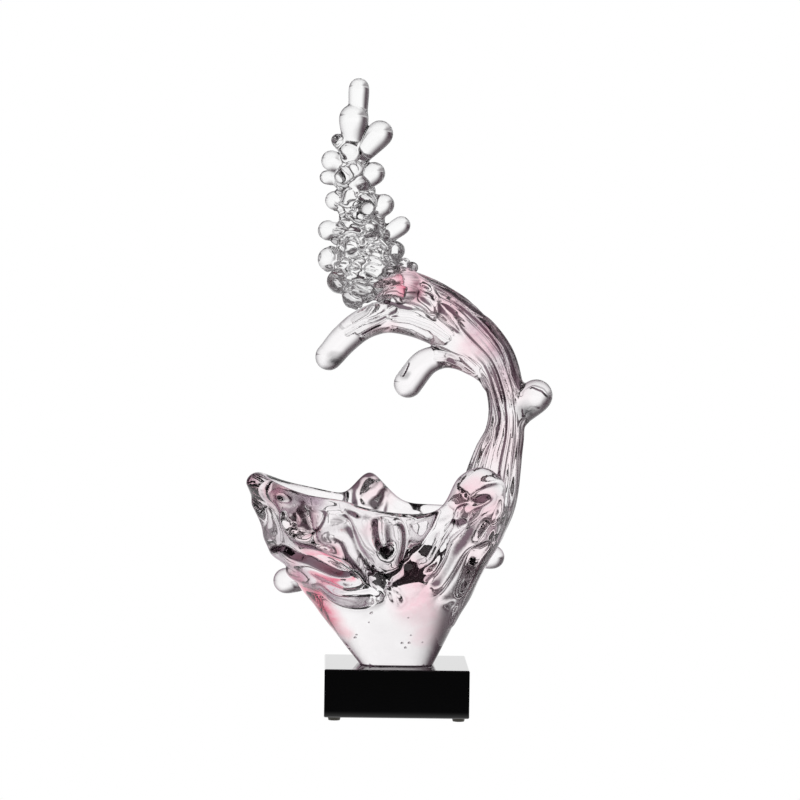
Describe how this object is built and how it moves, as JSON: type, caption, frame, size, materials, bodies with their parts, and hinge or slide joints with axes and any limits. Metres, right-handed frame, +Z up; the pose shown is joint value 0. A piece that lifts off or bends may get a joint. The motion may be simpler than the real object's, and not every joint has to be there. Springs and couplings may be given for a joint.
{
  "type": "glass sculpture",
  "caption": "Hot-worked glass wave: lobed thick bowl, fluted stem arching back over it with hanging drips and a spray of teardrops, glued to a black crystal plinth on rubber feet.",
  "frame": {"origin": "centre of the bottom of the whole part's bounding box, on the surface that the feet stand on", "axes": "+Z up, the pictured front faces -Y, +X to the right seen from the front, towards the stem"},
  "size_m": [0.2558, 0.136, 0.5318],
  "materials": {
    "rose_glass": "fire-polished clear glass with rose pink clouds",
    "clear_glass": "fire-polished clear glass",
    "black_crystal": "polished opaque black",
    "clear_glue": "cured clear adhesive",
    "amber_rubber": "translucent amber rubber"
  },
  "bodies": {
    "root": {"plinth": "black_crystal", "foot_front_left": "amber_rubber", "foot_front_right": "amber_rubber", "foot_back_left": "amber_rubber", "foot_back_right": "amber_rubber", "glue_film": "clear_glue", "wave_bowl": "rose_glass", "wave_stem": "rose_glass", "long_drip": "clear_glass", "short_drip": "clear_glass", "stem_knob": "clear_glass", "bowl_drop_left": "clear_glass", "bowl_drop_right": "clear_glass", "spray_core": "clear_glass", "spray_drop_01": "clear_glass", "spray_drop_02": "clear_glass", "spray_drop_03": "clear_glass", "spray_drop_04": "clear_glass", "spray_drop_05": "clear_glass", "spray_drop_06": "clear_glass", "spray_drop_07": "clear_glass", "spray_drop_08": "clear_glass", "spray_drop_09": "clear_glass", "spray_drop_10": "clear_glass", "spray_drop_11": "clear_glass", "spray_drop_12": "clear_glass", "spray_drop_13": "clear_glass", "spray_drop_14": "clear_glass", "spray_drop_15": "clear_glass", "spray_drop_16": "clear_glass", "spray_drop_17": "clear_glass", "spray_drop_18": "clear_glass", "spray_drop_19": "clear_glass", "spray_drop_20": "clear_glass", "spray_drop_21": "clear_glass", "spray_drop_22": "clear_glass", "spray_drop_23": "clear_glass", "spray_drop_24": "clear_glass", "spray_drop_25": "clear_glass", "spray_drop_26": "clear_glass", "spray_drop_27": "clear_glass", "spray_drop_28": "clear_glass", "spray_drop_29": "clear_glass"}
  },
  "joints": []
}
